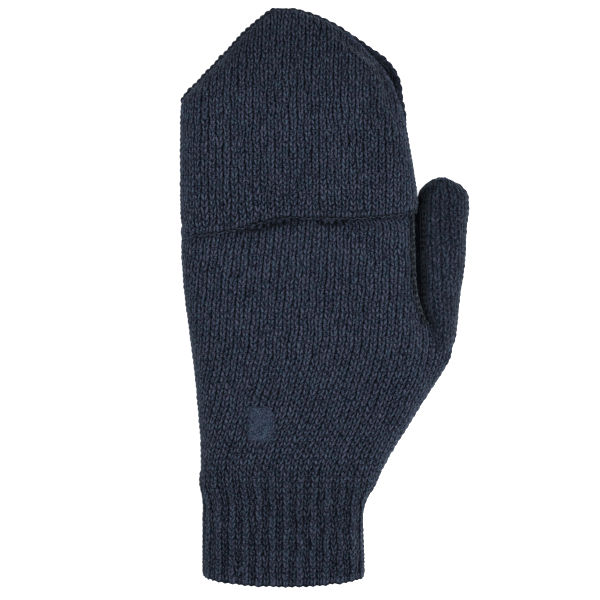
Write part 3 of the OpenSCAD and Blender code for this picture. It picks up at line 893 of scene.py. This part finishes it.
def hinge_threads():
    """Stitches that hold the cap's hem down on the back of the hand, sunk in the crease."""
    parts = []
    for x in np.linspace(-58, 36, HEM_STITCHES):
        y = float(hem_y(x))
        down = hand_skin.above(x - 0.9, y - 0.6)[0]
        up = cap_skin.above(x + 0.7, y + 0.3)[0] - np.array([0, 0, 1.2])
        parts.append(stitch_arch(down, up, (0, -0.5, 0.1), 0.33))
    return joined("hinge_threads", parts, thread)


def bar_tacks():
    """Short bars of thread over each end of the sewn hem."""
    parts = []
    for end, inward in HEM_ENDS:
        for k in range(TACK_BARS):
            x = end + inward * TACK_SPACING * k
            y = float(hem_y(x))
            down = hand_skin.above(x, y - 1.0)[0]
            up = cap_skin.above(x, y + 1.0)[0]
            parts.append(stitch_arch(down, up, (0, -0.4, 0.4), 0.42))
    return joined("hem_bar_tacks", parts, thread)


def shoulder_path(arcs, y0, y1, offset):
    """Points along the cap's edge, at the arcs of a table, from y0 to y1."""
    y = np.linspace(y0, y1, 60)
    points, normals = cap_skin.at(y, cap_skin.along(arcs, y))
    return points + normals * offset


def shoulder_seam():
    """The linked seam that closes the cap over both shoulders."""
    over_left = shoulder_path(cap_skin.left, 87.5, 130, 0.1)
    over_right = shoulder_path(0 * cap_skin.round, 130, 79, 0.0)
    parts = [
        linked_rope(over_left, 1.15, 2.9, swell=0.5, seed=61),
        linked_rope(over_right, 1.10, 3.9, swell=0.5, seed=62),
    ]
    # Its depth mark of 0.5 darkens the seam as painted shade.
    return joined("cap_shoulder_seam", parts, seam_yarn, 0.5)


def front_edge():
    """The front layer's rolled edge, inside the seam on the right shoulder."""
    path = shoulder_path(front_low, 120, 76, -0.45)
    rolled = linked_rope(path, 1.0, 2.8, swell=0.3, seed=63)
    # Its depth mark of 0.56 darkens the rolled edge as painted shade.
    return joined("cap_front_rolled_edge", [rolled], body_yarn, 0.56)


def gathered(name, centre, across, radius, petals, size, material):
    """A ring of yarn loops drawn together round a centre. across gives the ring's two directions."""
    centre = np.array(centre, float)
    u, v = (np.array(d, float) for d in across)
    parts = []
    for i in range(petals):
        turn = 2 * math.pi * i / petals
        spoke = u * math.cos(turn) + v * math.sin(turn)
        normal = np.cross(u, v)
        parts.append(stitch_arch(centre + spoke * 0.15, centre + spoke * radius, normal * size * 1.1, size))
    return joined(name, parts, material)


# ---- Thumb details ----

THUMB_STITCHES = 5


def thumb_crotch_threads():
    """Stitches that close the hole at the thumb's crotch."""
    parts = []
    for k in range(THUMB_STITCHES):
        y = -12.6 - 1.7 * k
        x = 47.0 + 0.35 * k
        point, normal = hand_skin.above(x, y)
        reach = 1.5 + 0.25 * k
        parts.append(stitch_arch(point - (reach, 0.9, 0.4), point + (reach, 0.5, -0.6), normal * 1.0, 0.42))
    return joined("thumb_crotch_threads", parts, thread)


# ---- Fastener ----

PATCH_ROUND = 3.0
PATCH_SPREAD = (0.3, 0.9)
PATCH_FRINGE = 0.6
HOOKS = 900
PATCH_STITCHES = 24


def patch_outline(u, v, half_x, half_y):
    """0 inside the patch's rounded outline, and growing outside it, in millimetres."""
    x = np.maximum(np.abs(u) - (half_x - PATCH_ROUND), 0)
    y = np.maximum(np.abs(v) - (half_y - PATCH_ROUND), 0)
    return np.hypot(x, y) - PATCH_ROUND


def fastener():
    """The hook patch: a felted pad pressed into the knit, its field of small hooks, and its stitches."""
    low, high = node_box("fastener_patch")
    centre = (low + high)[:2] / 2
    half = (high - low)[:2] / 2 + PATCH_SPREAD
    rng = np.random.default_rng(71)
    columns, rows = 44, 58
    u = np.linspace(-half[0] - PATCH_FRINGE, half[0] + PATCH_FRINGE, columns)
    v = np.linspace(-half[1] - PATCH_FRINGE, half[1] + PATCH_FRINGE, rows)
    points = np.empty((rows, columns, 3))
    for j in range(rows):
        for i in range(columns):
            point, normal = hand_skin.above(centre[0] + u[i], centre[1] + v[j])
            ragged = 0.4 * sway(u[i], v[j], 4, 73) + 0.35 * rng.normal()
            inside = ragged - patch_outline(u[i], v[j], *half)
            wear_and_painted_shade = 0.12 * sway(u[i], v[j], 5, 72)
            points[j, i] = point + normal * (0.55 * float(smooth((inside + 0.2) / 2.2)) - 0.30 + wear_and_painted_shade)
    uv = np.stack(np.meshgrid(u / 1.6, v / 1.1), -1)
    pad = mesh_object("hook_pad", points.reshape(-1, 3), grid_quads(rows, columns).reshape(-1, 4),
                      uv.reshape(-1, 2), np.full(rows * columns, 0.7), hook_tape)
    hooks = []
    while len(hooks) < HOOKS:
        place = rng.uniform(-1.1, 1.1, 2) * half
        if patch_outline(place[0], place[1], *half) > 0.5 * rng.normal() - 0.2:
            continue
        point, normal = hand_skin.above(centre[0] + place[0], centre[1] + place[1])
        turn = rng.uniform(0, 2 * math.pi)
        lean = np.array([math.cos(turn), math.sin(turn), 0]) * rng.uniform(0.3, 0.7)
        hooks.append(stitch_arch(point + normal * 0.1, point + normal * 0.15 + lean, normal * 0.4, 0.13,
                                 segments=4, sides=4))
    hooks = joined("hook_field", hooks, hook_bristle)
    sewing = []
    for k in range(PATCH_STITCHES):
        turn = 2 * math.pi * (k + 0.5) / PATCH_STITCHES
        edge = np.array([math.cos(turn), math.sin(turn)])
        reach = 1 / max(abs(edge[0]) / (half[0] - 0.8), abs(edge[1]) / (half[1] - 0.8))
        spot = edge * min(reach, 1.12 * min(half) / max(abs(edge).max(), 0.75))
        along = np.array([-edge[1], edge[0]]) * 0.45
        start, normal = hand_skin.above(*(centre + spot - along))
        end = hand_skin.above(*(centre + spot + along))[0]
        sewing.append(stitch_arch(start + normal * 0.2, end + normal * 0.2, normal * 0.2, 0.11, 5, 5))
    return pad, hooks, joined("patch_threads", sewing, thread)


# ---- Inside the cuff ----

ELASTIC_ROUNDS = 4
LABEL_THICKNESS = 0.35
LABEL_STITCHES = 8


def cuff_elastics():
    """Rounds of elastic thread laid in behind the ribs."""
    low, high = node_box("cuff_elastic")
    parts = []
    for k in range(ELASTIC_ROUNDS):
        y = low[1] + (high[1] - low[1]) * (k + 0.5) / ELASTIC_ROUNDS
        ring = cuff_skin.ring(y, -WALL - 0.6)
        parts.append(linked_rope(ring, 0.36, 1.6, closed=True, swell=0.2, seed=80 + k))
    return joined("elastic_rounds", parts, elastic_thread)


def care_label_piece():
    """A blank satin label sewn inside the cuff along its upper edge, with a gentle curl."""
    low, high = node_box("care_label")
    columns, rows = 33, 21
    x = np.linspace(low[0], high[0], columns)
    y = np.linspace(low[1], high[1], rows)
    xx, yy = np.meshgrid(x, y)
    free = (high[1] - yy) / (high[1] - low[1])
    zz = low[2] + 0.2 + 0.7 * free ** 2 + 0.25 * free * np.sin((xx - low[0]) * 0.35)
    top = np.stack((xx, yy, zz), -1)
    uv = np.stack((xx, yy), -1).reshape(-1, 2)
    label = mesh_object("blank_label", top.reshape(-1, 3), grid_quads(rows, columns).reshape(-1, 4), uv,
                        np.ones(rows * columns), label_cloth)
    thickness = label.modifiers.new("thickness", "SOLIDIFY")
    thickness.thickness = LABEL_THICKNESS * MM
    threads = []
    for k in range(LABEL_STITCHES):
        at = low[0] + (k + 0.5) * (high[0] - low[0]) / LABEL_STITCHES
        start = (at - 0.9, high[1] - 1, low[2])
        threads.append(stitch_arch(start, (at + 0.9, high[1] - 1, low[2]), (0, 0, 0.75), 0.22))
    return label, joined("label_threads", threads, thread)


# ---- Fitting to the frame ----

def fit(piece, slot_name, *nodes, body="hand"):
    """Puts a piece on a body in place of CAD nodes, or leaves it loose when body is None."""
    if body:
        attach(piece, body)
    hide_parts(*nodes)


fit(cuff, "knit_body", "cuff_rib", "cuff_edge_band")
fit(hand, "knit_body", "hand_tube")
for finger, (stub, edge) in stubs.items():
    fit(stub, "knit_body", finger + "_stub")
    fit(edge, "knit_edge", finger + "_edge_band")
fit(crotch_stitches(), "sewing_thread", "finger_crotch_stitches")
fit(thumb_crotch_threads(), "sewing_thread", "thumb_crotch_stitches")
fit(hinge_threads(), "sewing_thread", "hinge_stitches")
fit(bar_tacks(), "sewing_thread", "hinge_bar_tacks")
hook_pad, hook_field, patch_threads = fastener()
fit(hook_pad, "hook_patch", "fastener_patch")
fit(hook_field, "hook_patch", "fastener_hooks")
fit(patch_threads, "sewing_thread", "fastener_stitching")
fit(cuff_elastics(), "elastic_thread", "cuff_elastic")
blank_label, label_threads = care_label_piece()
fit(blank_label, "label", "care_label")
fit(label_threads, "sewing_thread", "care_label_stitches")

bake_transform(thumb)
fit(thumb, "knit_body", "thumb_tube", body=None)
thumb_tip = gathered("thumb_tip_gather", (53.0, 53.3, 10.4), ((1, 0, 0), (0, 0, -1)), 2.6, 8, 0.6,
                     body_yarn)
fit(thumb_tip, "knit_body", "thumb_tip_closure", body="thumb")

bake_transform(cap_back)
fit(cap_back, "knit_body", "cap_back_panel", "cap_hinge_hem", body=None)
fit(cap_palm, "knit_body", "cap_palm_panel", body="cap")
fit(palm_hem, "knit_edge", "cap_palm_hem", body="cap")
fit(strip, "knit_body", body="cap")
fit(shoulder_seam(), "knit_edge", "cap_edge_seam", body="cap")
fit(front_edge(), "knit_edge", body="cap")
cap_tip = gathered("cap_tip_gather", (-18.8, 129.6, 18.2), ((1, 0, 0), (0, 0, -0.4)), 3.0, 10, 0.5,
                   edge_yarn)
fit(cap_tip, "knit_edge", "cap_tip_closure", body="cap")


# ---- Studio ----

def studio():
    """A white floor and world, three soft lamps, and the camera high over the mitten."""
    scene = bpy.context.scene
    scene.view_settings.view_transform = "Standard"
    mesh = bpy.data.meshes.new("floor")
    reach = 3.0
    level = -0.0006
    corners = [(x * reach, y * reach, level) for x, y in ((-1, -1), (1, -1), (1, 1), (-1, 1))]
    mesh.from_pydata(corners, [], [(0, 1, 2, 3)])
    floor = bpy.data.objects.new("floor", mesh)
    scene.collection.objects.link(floor)
    material, tree, shader = new_material("floor_paper")
    shader.inputs["Base Color"].default_value = (0.9, 0.9, 0.9, 1)
    shader.inputs["Roughness"].default_value = 0.9
    shader.inputs["Emission Color"].default_value = (1, 1, 1, 1)
    shader.inputs["Emission Strength"].default_value = 0.80
    mesh.materials.append(material)

    world = bpy.data.worlds.new("world")
    world.use_nodes = True
    background = world.node_tree.nodes["Background"]
    background.inputs[0].default_value = (1, 1, 1, 1)
    background.inputs[1].default_value = 0.50
    scene.world = world

    def area_light(name, place, target, size, power):
        light = bpy.data.lights.new(name, "AREA")
        light.shape = "DISK"
        light.size = size
        light.energy = power
        lamp = bpy.data.objects.new(name, light)
        lamp.location = place
        direction = Vector(target) - Vector(place)
        lamp.rotation_euler = direction.to_track_quat("-Z", "Y").to_euler()
        scene.collection.objects.link(lamp)

    area_light("key", (0.28, -0.12, 1.7), (-0.01, 0, 0), 0.6, 24)
    area_light("side", (1.3, 0.1, 0.6), (0, 0, 0), 0.7, 9)
    area_light("fill", (-1.3, -0.1, 0.5), (0, 0, 0), 0.7, 5.5)

    camera = bpy.data.cameras.new("camera")
    camera.sensor_width = 36
    camera.lens = 333
    view = bpy.data.objects.new("camera", camera)
    view.location = (-0.0110, -0.0009, 2.512)
    scene.collection.objects.link(view)
    scene.camera = view


studio()
